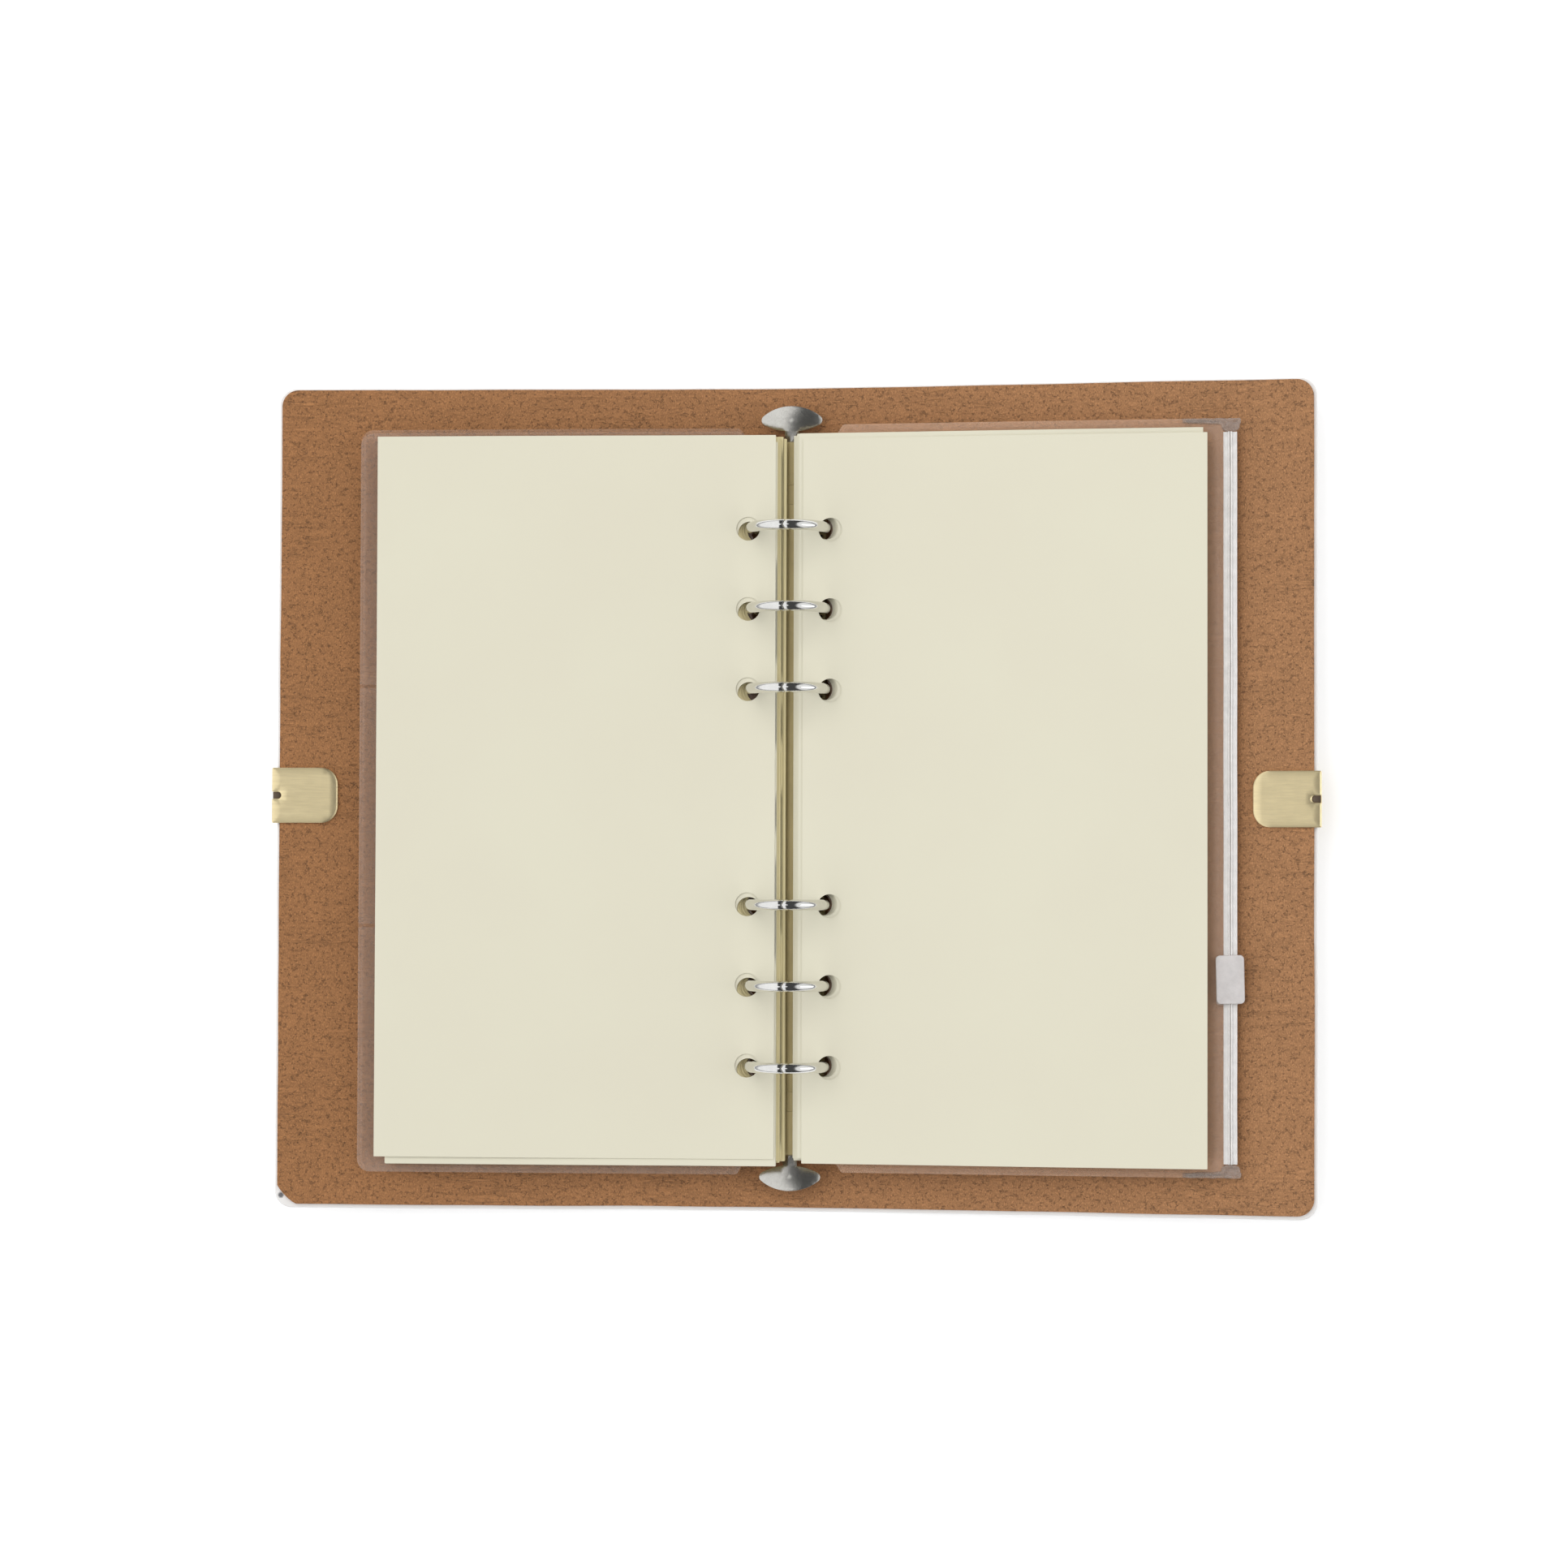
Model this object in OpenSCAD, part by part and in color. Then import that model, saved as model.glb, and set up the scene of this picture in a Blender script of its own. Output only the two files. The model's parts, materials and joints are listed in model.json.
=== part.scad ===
// Open six-ring loose-leaf album: a soft two-leaf cover, a sprung ring mechanism with two end
// levers, punched leaves on both sides, a card sheet, a zip pouch and a clasp half on each
// fore-edge. The book lies open: +X runs to the right leaf, +Y up the page, +Z up.
// The origin is the centre of the spine's underside.

/* [Cover] */
// Height of the cover along the spine
cover_h = 196.5; // [185:0.5:215]
// Spine centre to fore-edge, with the cover pressed flat
cover_half = 123.8; // [118:0.1:130]
// Distance between the two creases
spine_w = 22; // [20:0.5:26]
// Thickness of the outer skin
skin_t = 1.2; // [1:0.1:1.6]
// Thickness of the lining
lining_t = 1; // [0.8:0.1:1.2]
// How far the lining stops short of the skin's edge
lining_inset = 0.7; // [0.3:0.1:1.5]
// Radius of the outer corners
corner_r = 4; // [2:0.5:8]
// Angle at which each cover leaf lifts off the table from its crease
open_tilt = 4; // [2:0.5:6]

/* [Rings] */
// Inside diameter of a closed ring
ring_bore = 15; // [14.5:0.1:15.5]
// Wire diameter
wire_d = 2.5; // [2:0.1:2.5]
// Pitch inside each group of three rings
ring_pitch = 19; // [18:0.5:20]
// Distance between the two inner rings
group_gap = 50.8; // [48:0.1:54]
// Height of the ring centres above the table
ring_z = 13.4; // [13.4:0.1:14]
// Angle each half turns through when the rings spring open
ring_open = 12; // [8:1:12]

/* [Mechanism] */
// Width of the housing
housing_w = 16; // [16:0.5:18]
// Length of the housing
housing_l = 169; // [166:1:172]
// Sheet thickness of the housing
housing_t = 0.8; // [0.6:0.1:0.8]
// Thickness of the two hinge plates
blade_t = 0.9; // [0.7:0.1:0.9]
// Width of a lever's paddle
paddle_w = 14.5; // [12:0.5:16]
// Upward slope of a lever at rest
lever_rise = 12; // [10:1:14]

/* [Leaves] */
// Width of a leaf
leaf_w = 95; // [90:0.5:96]
// Height of a leaf
leaf_h = 171; // [165:1:172]
// Diameter of the punched holes
hole_d = 5.6; // [5.5:0.1:6]
// Hole centre to the leaf's inner edge
hole_edge = 6.5; // [5.5:0.1:7]
// Thickness of a single leaf
leaf_t = 0.25; // [0.15:0.05:0.3]
// Thickness of a block of leaves
block_t = 0.6; // [0.4:0.1:0.6]
// Depth of the top leaf below the ring centres
leaf_depth = 2.5; // [2.4:0.1:2.6]
// Upward slope of the leaves at rest
leaf_tilt = 2.5; // [2:0.5:3]

/* [Card sheet and zip pouch] */
// Width of the card sheet
card_w = 102.9; // [97:0.1:105]
// Height of the card sheet
card_h = 177; // [172:0.5:178]
// How far the card sheet hangs below the middle of the rings
card_low = 0.7; // [0:0.1:1.5]
// Height of the zip pouch
pouch_h = 177; // [174:0.5:179]
// Distance from the ring plane to the inner edge of the zip
zip_x = 101.7; // [100:0.1:103]
// Width of the zip track
zip_w = 3.2; // [3:0.1:4]
// Thickness of the zip track
zip_t = 1.8; // [1.4:0.1:1.8]
// Length of the zip slider
slider_l = 11.3; // [9:0.1:14]
// Where the slider stands along the zip
slider_y = -42.4; // [-75:0.1:75]

/* [Clasp] */
// Size of a clasp plate along the cover
clasp_l = 15.8; // [14:0.1:18]
// Size of a clasp plate along the fore-edge
clasp_w = 13.2; // [11:0.1:16]
// Metal thickness of a clasp plate
clasp_t = 0.8; // [0.6:0.1:1]
// How far the clasp stands past the fore-edge
clasp_over = 1; // [0.9:0.1:1.6]

/* [Hidden] */
$fn = 64;
eps = 0.05;
cover_t = skin_t + lining_t;
crease_x = spine_w / 2;
panel_l = cover_half - crease_x;
crease_gap = 0.1;
wire_r = wire_d / 2;
ring_r = ring_bore / 2 + wire_r;
ring_ys = [for (s = [-1, 1], k = [0:2]) s * (group_gap / 2 + k * ring_pitch)];
leg_angle = 45;
leg_l = 5.35;
tip_gap = 0.05;
housing_z = cover_t;
housing_top = 6.4;
arch_r = 24;
blade_x = housing_w / 2 - 1.4;
blade_z = 4.1;
blade_closed = ring_open / 2;
blade_h = 159.8;
rivet_y = 72;
rivet_r = 1.4;
lever_y = housing_l / 2 - 3;
pin_r = 0.7;
hub_r = 1.3;
paddle_y = 8.5;
paddle_out = 3.4;
paddle_in = 2.6;
tip_r = 1.2;
blocks = 5;
film_hole = 6.4;
film_edge = 5;
film_t = 0.4;
film_depth = leaf_depth + leaf_t + 0.1 + blocks * (block_t + 0.01) + 0.15;
film_step = 10;
card_seams = [26.8, -30.3];
zip_mid = film_depth + film_t;
zip_end = pouch_h / 2 - 3.2;
slider_w = 6.5;
slider_r = 1;
slider_t = 3.2;

// ---- frames ---------------------------------------------------------------

// Places its children on the right cover leaf: x from the crease, z up from the lining face
module on_cover() {
    translate([crease_x, 0, cover_t]) rotate([0, -open_tilt, 0]) children();
}

// Places its children on the right leaf stack: x from the ring centre, z up from it
module on_stack() {
    translate([0, 0, ring_z]) rotate([0, -leaf_tilt, 0]) children();
}

module left() { mirror([1, 0, 0]) children(); }

// ---- cover ----------------------------------------------------------------

// Outline of a cover leaf from its crease, its two outer corners rounded
module panel_outline(inset) {
    l = panel_l - inset;
    h = cover_h / 2 - inset;
    r = corner_r;
    translate([crease_gap, -h]) square([l - r - crease_gap, 2 * h]);
    translate([l - r - eps, -h + r]) square([r + eps, 2 * (h - r)]);
    for (s = [-1, 1]) translate([l - r, s * (h - r)]) circle(r);
}

module magnet_pocket() {
    translate([panel_l - 7, 0, -1.75]) cylinder(h = 1.3, r = 3.55);
}

module panel_skin() {
    on_cover() difference() {
        translate([0, 0, -cover_t]) linear_extrude(skin_t) panel_outline(0);
        magnet_pocket();
    }
}

module panel_lining() {
    on_cover() difference() {
        translate([0, 0, -lining_t]) linear_extrude(lining_t) panel_outline(lining_inset);
        magnet_pocket();
    }
}

module spine_skin() color([0.94, 0.93, 0.92]) difference() {
    translate([-crease_x + crease_gap, -cover_h / 2, 0])
        cube([spine_w - 2 * crease_gap, cover_h, skin_t]);
    for (s = [-1, 1]) translate([0, s * rivet_y, skin_t - 0.45])
        cylinder(h = 1, r = 3.6);
}

module spine_lining() color([0.63, 0.45, 0.31]) difference() {
    h = cover_h - 2 * lining_inset;
    translate([-crease_x + crease_gap, -h / 2, skin_t])
        cube([spine_w - 2 * crease_gap, h, lining_t]);
    for (s = [-1, 1]) translate([0, s * rivet_y, 0]) cylinder(h = 5, r = rivet_r + 0.02);
}

module front_skin() color([0.94, 0.93, 0.92]) left() panel_skin();
module back_skin() color([0.94, 0.93, 0.92]) panel_skin();
module front_lining() color([0.61, 0.42, 0.28]) left() panel_lining();
module back_lining() color([0.66, 0.47, 0.33]) panel_lining();

// ---- clasp ----------------------------------------------------------------

// Plan of a clasp plate: square at the fore-edge, round at its two inner corners
module clasp_plan() {
    r = 4;
    x1 = panel_l + clasp_over;
    x0 = x1 - clasp_l;
    translate([x0 + r, -clasp_w / 2]) square([clasp_l - r, clasp_w]);
    translate([x0, -clasp_w / 2 + r]) square([r + eps, clasp_w - 2 * r]);
    for (s = [-1, 1]) translate([x0 + r, s * (clasp_w / 2 - r)]) circle(r);
}

// The clip wraps the fore-edge: an inner plate, a round fold and an outer plate. Neither
// one was crimped on exactly in the middle.
module clasp() {
    fold_r = (cover_t + 2 * clasp_t) / 2;
    fold_x = panel_l + clasp_over - fold_r;
    on_cover() difference() {
        intersection() {
            translate([0, 0, -cover_t - clasp_t])
                linear_extrude(cover_t + 2 * clasp_t) clasp_plan();
            rotate([90, 0, 0]) translate([0, 0, -clasp_w / 2]) linear_extrude(clasp_w) {
                translate([fold_x, -cover_t / 2]) circle(fold_r);
                translate([panel_l - clasp_l, -cover_t - clasp_t])
                    square([fold_x - panel_l + clasp_l, cover_t + 2 * clasp_t]);
            }
        }
        translate([0, -clasp_w, -cover_t]) cube([panel_l, 2 * clasp_w, cover_t]);
        // the notch in the fold
        translate([panel_l + clasp_over - 1.25, 0, -8]) {
            cylinder(h = 16, r = 0.85);
            translate([0, -0.85, 0]) cube([3, 1.7, 16]);
        }
    }
}

module clasp_magnet() {
    on_cover() translate([panel_l - 7, 0, -1.7]) cylinder(h = 1.2, r = 3.5);
}

module front_clasp() color([0.82, 0.74, 0.58]) translate([0, 0.4, 0]) left() clasp();
module back_clasp() color([0.82, 0.74, 0.58]) translate([0, -0.4, 0]) clasp();
module front_clasp_magnet() color([0.45, 0.45, 0.47]) left() clasp_magnet();
module back_clasp_magnet() color([0.45, 0.45, 0.47]) clasp_magnet();

// ---- ring mechanism -------------------------------------------------------

// Cross-section of the housing, grown inwards by t
module arch(t) {
    intersection() {
        translate([0, housing_top - arch_r]) circle(arch_r - t);
        translate([-housing_w / 2 + t, housing_z - (t > 0 ? 1 : 0)])
            square([housing_w - 2 * t, 10]);
    }
}

module ring_housing() color([0.75, 0.75, 0.73]) difference() {
    rotate([90, 0, 0]) translate([0, 0, -housing_l / 2]) linear_extrude(housing_l)
        difference() {
            arch(0);
            arch(housing_t);
        }
    // one slot for each half ring
    for (y = ring_ys, s = [-1, 1])
        translate([s * 4.8 - 3.7, y - wire_r - 0.3, 4.4]) cube([7.4, wire_d + 0.6, 4]);
    for (s = [-1, 1]) {
        translate([0, s * rivet_y, 4]) cylinder(h = 4, r = rivet_r + 0.02);
        translate([0, s * rivet_y, housing_top - 0.42]) cylinder(h = 1, r = 2.35);
        translate([-10, s * lever_y, blade_z]) rotate([0, 90, 0])
            cylinder(h = 20, r = pin_r + 0.02);
    }
}

// Tubular rivets that hold the housing down: a foot under the lining, a shank, a flush head
module mounting_rivets() color([0.7, 0.69, 0.66]) for (s = [-1, 1]) translate([0, s * rivet_y, 0]) {
    translate([0, 0, skin_t - 0.4]) cylinder(h = 0.4, r = 3.5);
    translate([0, 0, skin_t - 0.4]) cylinder(h = housing_top - 0.1 - skin_t + 0.4, r = rivet_r);
    translate([0, 0, housing_top - 0.4]) cylinder(h = 0.3, r = 2.3);
}

module lever_pins() color([0.7, 0.7, 0.7]) for (s = [-1, 1])
    translate([-housing_w / 2 + 0.1, s * lever_y, blade_z]) rotate([0, 90, 0])
        cylinder(h = housing_w - 0.2, r = pin_r);

// Straight leg of a right half ring, from the end of its arc down into the hinge plate
module leg(y, r) {
    translate([ring_r * cos(leg_angle), y, ring_z - ring_r * sin(leg_angle)])
        rotate([0, -90 - leg_angle, 0]) cylinder(h = leg_l, r = r);
}

// Right half ring with its arc from the leg up to the split at the top
module half_ring(y) {
    gap_angle = asin(tip_gap / ring_r);
    translate([0, y, ring_z]) rotate([90, 0, 0]) rotate([0, 0, -leg_angle])
        rotate_extrude(angle = 90 + leg_angle - gap_angle) translate([ring_r, 0]) circle(wire_r);
    leg(y, wire_r + 0.02);
}

module tooth(y, r, l) {
    translate([tip_gap + 0.1, y, ring_z + ring_r]) rotate([0, -90, 0]) cylinder(h = l, r = r);
}

module right_ring(i) color([0.78, 0.78, 0.76]) {
    half_ring(ring_ys[i]);
    tooth(ring_ys[i], 0.45, 0.6);
}

module left_ring(i) color([0.78, 0.78, 0.76]) difference() {
    left() half_ring(ring_ys[i]);
    tooth(ring_ys[i], 0.55, 0.8);
}

// Right hinge plate, its round outer edge seated in the housing's wall
module blade() difference() {
    l = (blade_x - 0.25) / cos(blade_closed);
    translate([blade_x, 0, blade_z]) rotate([0, -blade_closed, 0]) {
        translate([-l, -blade_h / 2, -blade_t / 2]) cube([l, blade_h, blade_t]);
        translate([0, blade_h / 2, 0]) rotate([90, 0, 0]) cylinder(h = blade_h, r = blade_t / 2);
    }
    for (y = ring_ys) leg(y, wire_r + 0.04);
    for (s = [-1, 1]) translate([0, s * rivet_y, 0]) cylinder(h = 10, r = 2.3);
}

module right_blade() color([0.62, 0.62, 0.6]) blade();
module left_blade() color([0.62, 0.62, 0.6]) left() blade();

// Outline of a lever's paddle: two arcs that run into small round ends
module paddle_outline() {
    w = paddle_w / 2 - tip_r;
    upper = paddle_out - tip_r;
    lower = paddle_in - tip_r;
    r_upper = (w * w + upper * upper) / (2 * upper);
    r_lower = (w * w + lower * lower) / (2 * lower);
    offset(tip_r, $fn = 48) intersection() {
        translate([0, upper - r_upper]) circle(r_upper, $fn = 128);
        translate([0, r_lower - lower]) circle(r_lower, $fn = 128);
    }
}

// Top lever: a domed lens-shaped paddle, a neck, a hub on its pin and a nose under the plates
module lever() translate([0, lever_y, blade_z]) difference() {
    union() {
        rotate([lever_rise, 0, 0]) {
            translate([-1.7, 0.8, -0.35]) cube([3.4, 5.8, 0.9]);
            intersection() {
                translate([0, paddle_y, -0.35]) linear_extrude(1.6) paddle_outline();
                translate([0, paddle_y, 1.15 - 26]) sphere(26, $fn = 128);
            }
        }
        translate([-3, 0, 0]) rotate([0, 90, 0]) cylinder(h = 6, r = hub_r);
        translate([-2, -1.25, -1.8]) cube([4, 1.25, 1.8]);
        translate([-2, -3.8, -1.8]) cube([4, 3.8, 0.55]);
    }
    translate([-10, 0, 0]) rotate([0, 90, 0]) cylinder(h = 20, r = pin_r + 0.05);
}

module top_lever() color([0.72, 0.71, 0.67]) lever();
module bottom_lever() color([0.72, 0.71, 0.67]) mirror([0, 1, 0]) lever();

// ---- leaves ---------------------------------------------------------------

// Where a hole is centred so that its inner edge just clears the inside of the ring at depth d
function hole_x(d, hole) = sqrt(pow(ring_bore / 2, 2) - d * d) - 0.12 + hole / 2;

// Centre of an opened ring, out from and up from the closed one's, along the leaves
opened_x = blade_x * (1 - cos(ring_open)) + (ring_z - blade_z) * sin(ring_open);
opened_z = blade_x * sin(ring_open) - (ring_z - blade_z) * (1 - cos(ring_open));
opened_u = opened_x * cos(leaf_tilt) + opened_z * sin(leaf_tilt);
opened_w = opened_z * cos(leaf_tilt) - opened_x * sin(leaf_tilt);

// Where a hole is centred so that its outer edge just clears the opened ring at depth d
function pushed_x(d, hole) = opened_u + sqrt(pow(ring_bore / 2 + wire_d, 2) - pow(d + opened_w, 2))
    + 0.1 - hole / 2;

module punch(x, d) {
    for (y = ring_ys) translate([x, y, -20]) cylinder(h = 30, r = d / 2);
}

// A punched sheet t thick whose top face is d below the ring centres, its holes centred on x.
// It lies dy off centre, partly from how it was punched and partly from play on the rings.
module sheet(d, t, x, dy) {
    on_stack() difference() {
        translate([x - hole_edge, dy - leaf_h / 2, -d - t]) cube([leaf_w, leaf_h, t]);
        translate([0, 0.4 * dy, 0]) punch(x, hole_d);
    }
}

// The top leaf lies as far out as the rings let it
module top_leaf(dy) {
    sheet(leaf_depth, leaf_t, hole_x(leaf_depth + leaf_t, hole_d), dy);
}

// Block k of the stack, drawn out to where its rings stop it, or else pushed in towards the
// spine; the blocks are not knocked up square
module leaf_block(k, dy, out) {
    d = leaf_depth + leaf_t + 0.1 + (k - 1) * (block_t + 0.01);
    x = hole_x(d + block_t, hole_d);
    sheet(d, block_t, out ? x : min(pushed_x(d, hole_d), x), dy);
}

paper = [0.9, 0.89, 0.82];
module turning_leaf() color(paper) top_leaf(-0.7);
module right_leaves_1() color(paper) leaf_block(1, 0.5, false);
module right_leaves_2() color(paper) leaf_block(2, 0.2, false);
module right_leaves_3() color(paper) leaf_block(3, 0.6, false);
module right_leaves_4() color(paper) leaf_block(4, -0.1, false);
module right_leaves_5() color(paper) leaf_block(5, 0.3, false);
module left_top_leaf() color(paper) left() top_leaf(0.2);
module left_leaves_1() color(paper) left() leaf_block(1, -0.8, true);
module left_leaves_2() color(paper) left() leaf_block(2, -0.3, true);
module left_leaves_3() color(paper) left() leaf_block(3, -0.6, true);
module left_leaves_4() color(paper) left() leaf_block(4, 0, true);
module left_leaves_5() color(paper) left() leaf_block(5, -0.4, true);

// ---- card sheet and zip pouch ---------------------------------------------

film_x = hole_x(film_depth + 2 * film_t, film_hole);

// A clear film from its punched margin out to x1, taller outside the margin
module film(d, x1, y0, y1) {
    difference() {
        union() {
            translate([film_x - film_edge, max(y0, -leaf_h / 2), -d - film_t])
                cube([film_step, min(y1, leaf_h / 2) - max(y0, -leaf_h / 2), film_t]);
            translate([film_x - film_edge + film_step - eps, y0, -d - film_t])
                cube([x1 - film_x + film_edge - film_step + eps, y1 - y0, film_t]);
        }
        punch(film_x, film_hole);
    }
}

module card_sheet() color([0.85, 0.8, 0.76, 0.5]) left() on_stack()
    film(film_depth + film_t, card_w, -card_h / 2 - card_low, card_h / 2 - card_low);

// A pocket front, its upper edge left open
module card_pocket(y0, y1) left() on_stack() film(film_depth, card_w, y0, y1 - 0.8);

module card_pocket_top() color([0.85, 0.8, 0.76, 0.5]) card_pocket(card_seams[0], card_h / 2 - card_low);
module card_pocket_middle() color([0.85, 0.8, 0.76, 0.5]) card_pocket(card_seams[1], card_seams[0]);
module card_pocket_bottom() color([0.85, 0.8, 0.76, 0.5]) card_pocket(-card_h / 2 - card_low, card_seams[1]);

module pouch_back() color([0.85, 0.82, 0.8, 0.5]) on_stack()
    film(film_depth + film_t, zip_x, -pouch_h / 2, pouch_h / 2);
module pouch_front() color([0.85, 0.82, 0.8, 0.5]) on_stack()
    film(film_depth, zip_x, -pouch_h / 2, pouch_h / 2);

// The two press-together halves of the zip, a rib on the front one and a groove in the back one
module zip_rail_front() color([0.8, 0.76, 0.73]) on_stack() {
    translate([zip_x, -zip_end, -zip_mid]) cube([zip_w, 2 * zip_end, zip_t / 2]);
    translate([zip_x + zip_w / 2 - 0.5, -zip_end, -zip_mid - 0.5]) cube([1, 2 * zip_end, 0.6]);
}

module zip_rail_back() color([0.8, 0.76, 0.73]) on_stack() difference() {
    translate([zip_x, -zip_end, -zip_mid - zip_t / 2]) cube([zip_w, 2 * zip_end, zip_t / 2]);
    translate([zip_x + zip_w / 2 - 0.52, -zip_end - 1, -zip_mid - 0.52])
        cube([1.04, 2 * zip_end + 2, 2]);
}

module zip_end_welds() color([0.8, 0.76, 0.73]) on_stack() for (s = [-1, 1])
    translate([zip_x, s * (zip_end + pouch_h / 2) / 2 - (pouch_h / 2 - zip_end) / 2, -zip_mid - 0.55])
        cube([zip_w + 0.4, pouch_h / 2 - zip_end, 1.1]);

// Plan of the slider, round at its four corners
module slider_plan() {
    square([slider_w - 2 * slider_r, slider_l], center = true);
    square([slider_w, slider_l - 2 * slider_r], center = true);
    for (s = [-1, 1], q = [-1, 1])
        translate([s * (slider_w / 2 - slider_r), q * (slider_l / 2 - slider_r)]) circle(slider_r);
}

// The slider grips the track from its outer side; the film runs in through its inner side
module zip_slider() color([0.86, 0.85, 0.84, 0.8]) on_stack() translate([0, slider_y, -zip_mid])
    difference() {
        x0 = zip_x + zip_w / 2 - slider_w / 2;
        translate([zip_x + zip_w / 2, 0, -slider_t / 2]) linear_extrude(slider_t) slider_plan();
        translate([zip_x - 0.1, -slider_l, -zip_t / 2 - 0.1]) cube([zip_w + 0.2, 2 * slider_l, zip_t + 0.2]);
        translate([x0 - 1, -slider_l, -film_t - 0.1]) cube([3, 2 * slider_l, 2 * film_t + 0.2]);
    }

// ---- assembly -------------------------------------------------------------

spine_skin();
spine_lining();
ring_housing();
mounting_rivets();
lever_pins();
front_skin();
front_lining();
front_clasp();
front_clasp_magnet();
back_skin();
back_lining();
back_clasp();
back_clasp_magnet();
left_blade();
left_ring(0);  // left_ring_1
left_ring(1);  // left_ring_2
left_ring(2);  // left_ring_3
left_ring(3);  // left_ring_4
left_ring(4);  // left_ring_5
left_ring(5);  // left_ring_6
right_blade();
right_ring(0);  // right_ring_1
right_ring(1);  // right_ring_2
right_ring(2);  // right_ring_3
right_ring(3);  // right_ring_4
right_ring(4);  // right_ring_5
right_ring(5);  // right_ring_6
top_lever();
bottom_lever();
left_top_leaf();
left_leaves_1();
left_leaves_2();
left_leaves_3();
left_leaves_4();
left_leaves_5();
card_sheet();
card_pocket_top();
card_pocket_middle();
card_pocket_bottom();
turning_leaf();
right_leaves_1();
right_leaves_2();
right_leaves_3();
right_leaves_4();
right_leaves_5();
pouch_back();
pouch_front();
zip_rail_back();
zip_rail_front();
zip_end_welds();
zip_slider();
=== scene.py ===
"""Looks of the open six-ring album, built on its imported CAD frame."""
import json
import math
import random

import bmesh
import bpy
import numpy as np
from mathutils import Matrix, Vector, noise
from mathutils.geometry import delaunay_2d_cdt


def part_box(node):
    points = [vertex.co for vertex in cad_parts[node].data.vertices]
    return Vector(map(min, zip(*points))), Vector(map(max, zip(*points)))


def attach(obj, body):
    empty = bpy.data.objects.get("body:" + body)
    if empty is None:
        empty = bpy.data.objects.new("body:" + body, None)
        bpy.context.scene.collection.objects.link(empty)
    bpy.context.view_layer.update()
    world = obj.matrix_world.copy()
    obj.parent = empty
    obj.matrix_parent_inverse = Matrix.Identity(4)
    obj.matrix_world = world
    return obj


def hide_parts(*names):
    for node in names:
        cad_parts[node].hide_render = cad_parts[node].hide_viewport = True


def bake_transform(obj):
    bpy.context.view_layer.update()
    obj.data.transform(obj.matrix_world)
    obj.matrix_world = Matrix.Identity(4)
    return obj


MM = 0.001
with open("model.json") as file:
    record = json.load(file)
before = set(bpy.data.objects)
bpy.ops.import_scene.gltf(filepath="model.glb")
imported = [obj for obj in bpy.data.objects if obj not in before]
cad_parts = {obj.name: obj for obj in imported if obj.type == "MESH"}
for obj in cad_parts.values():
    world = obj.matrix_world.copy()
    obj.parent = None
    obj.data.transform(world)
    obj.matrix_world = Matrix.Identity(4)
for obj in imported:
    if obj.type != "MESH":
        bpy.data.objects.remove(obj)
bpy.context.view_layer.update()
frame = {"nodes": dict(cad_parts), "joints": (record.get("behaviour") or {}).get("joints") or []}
random.seed(7)

JOINTS = {j["name"]: j for j in frame["joints"]}

# Driving sizes of the looks, in mm
BEND = 6.0              # length of cover that bends beyond a crease
RIM_SHIFT = 0.25        # how far the lining sits above the middle of its skin
CLIPPED_CORNER = 4.6    # the lining's clipped corner, lower left
SHEET_T = 0.11          # one leaf of paper
SHEETS = 4              # leaves drawn for each CAD block
NARROWER = 2.2          # how much narrower the leaves under the left top leaf are
LOWER = 0.6             # how far the first of them have slipped down
HOLE_EDGE = 6.5         # hole centre to a leaf's inner edge
HOLE_R = 2.8            # punched hole
FILM_HOLE_R = 3.2       # hole in a clear film
FILM_GAP = 0.14         # how far a film keeps off the one it is welded to
FILM_MARGIN = 10.0      # width of a film's punched margin, which stops short of its height
WELD_W = 1.5            # width of a welded film edge
NOTCH_W, NOTCH_L = 1.7, 2.2     # notch in a clasp's fore-edge
CLASP_CORNER = 4.0      # a clasp's round inner corners
CLASP_SHARP = 0.25      # a clasp's corners at the fore-edge
CLASP_CHAMFER = ((0.46, 0.0), (0.08, 0.14), (0, 0.22))     # a clasp's rim: inset, and depth below its face
WEB_GAP = 0.04          # play round the web at the bottom of a clasp's notch
HELD = 16.0             # how far out from its pivot a leaf lies flat before it bows
END_L = 3.1             # how far a crushed zip end reaches along the track
END_HALF = 2.15         # half the width of a crushed zip end
END_TAIL = 9.5          # length of the bead from a crushed zip end along the pouch's edge
SLIDER_TURN = math.radians(1.3)     # slight turn of the slider on its track


# ---- places -----------------------------------------------------------------

def verts_mm(node):
    return [v.co / MM for v in frame["nodes"][node].data.vertices]


def smooth(t):
    t = min(max(t, 0.0), 1.0)
    return t * t * (3 - 2 * t)


def wave(x, y, scale, seed=0.0):
    """Soft noise from -1 to 1, scale in waves per mm."""
    return noise.noise(Vector((x * scale, y * scale, seed)))


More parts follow.
